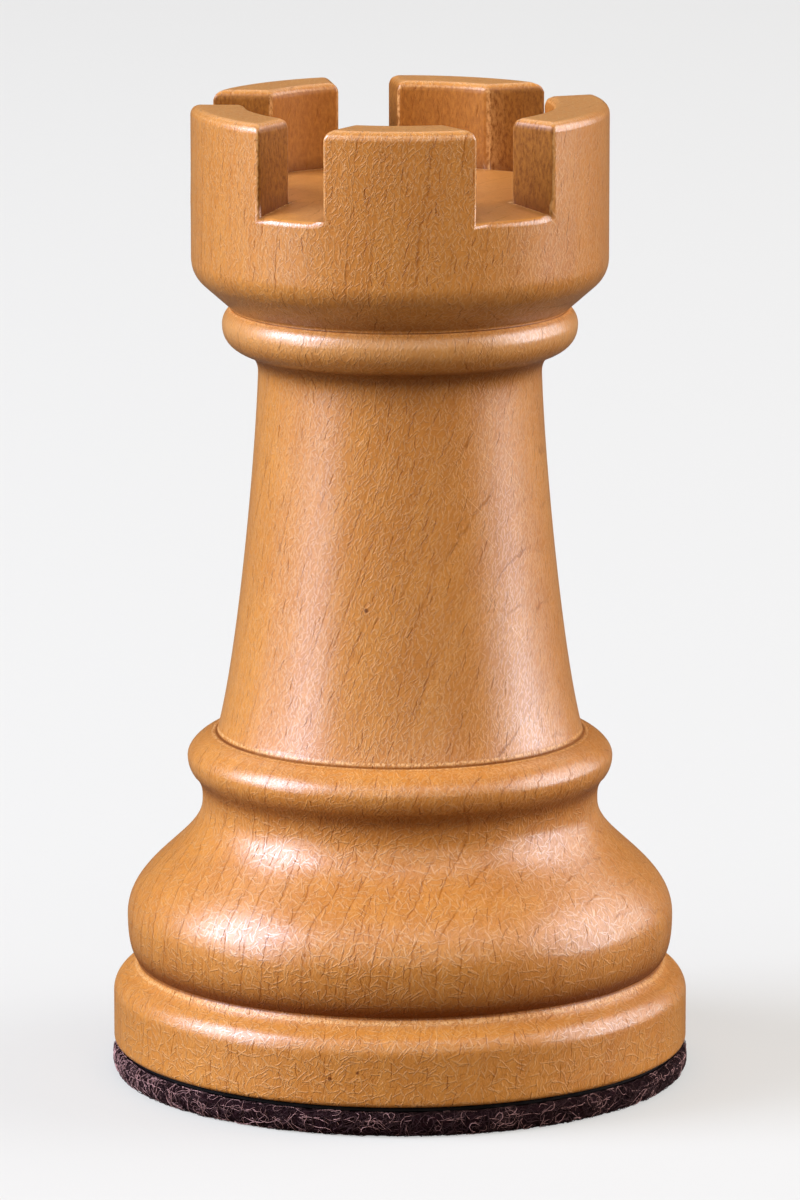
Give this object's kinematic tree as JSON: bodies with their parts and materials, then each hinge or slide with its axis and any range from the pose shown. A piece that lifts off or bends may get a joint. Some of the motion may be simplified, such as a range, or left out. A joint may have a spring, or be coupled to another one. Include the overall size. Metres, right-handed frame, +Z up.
{
  "type": "chess rook",
  "caption": "Turned wooden chess rook with a notched turret over a waisted stem, a weighted foot and a soft pad that it stands on.",
  "frame": {"origin": "centre of the pad's underside, where the rook stands", "axes": "+Z up along the turning axis, -Y towards the viewer of the reference view"},
  "size_m": [0.0324, 0.0324, 0.055],
  "materials": {
    "lacquered_wood": "satin lacquer over fine-pored pale orange wood",
    "cast_iron": "as cast",
    "raw_wood": "sawn, no lacquer",
    "dark_adhesive": "dried film",
    "pad_felt": "dark maroon fibre felt"
  },
  "bodies": {
    "root": {"turned_body": "lacquered_wood", "weight_slug": "cast_iron", "bore_plug": "raw_wood", "pad_adhesive": "dark_adhesive", "base_pad": "pad_felt"}
  },
  "joints": []
}
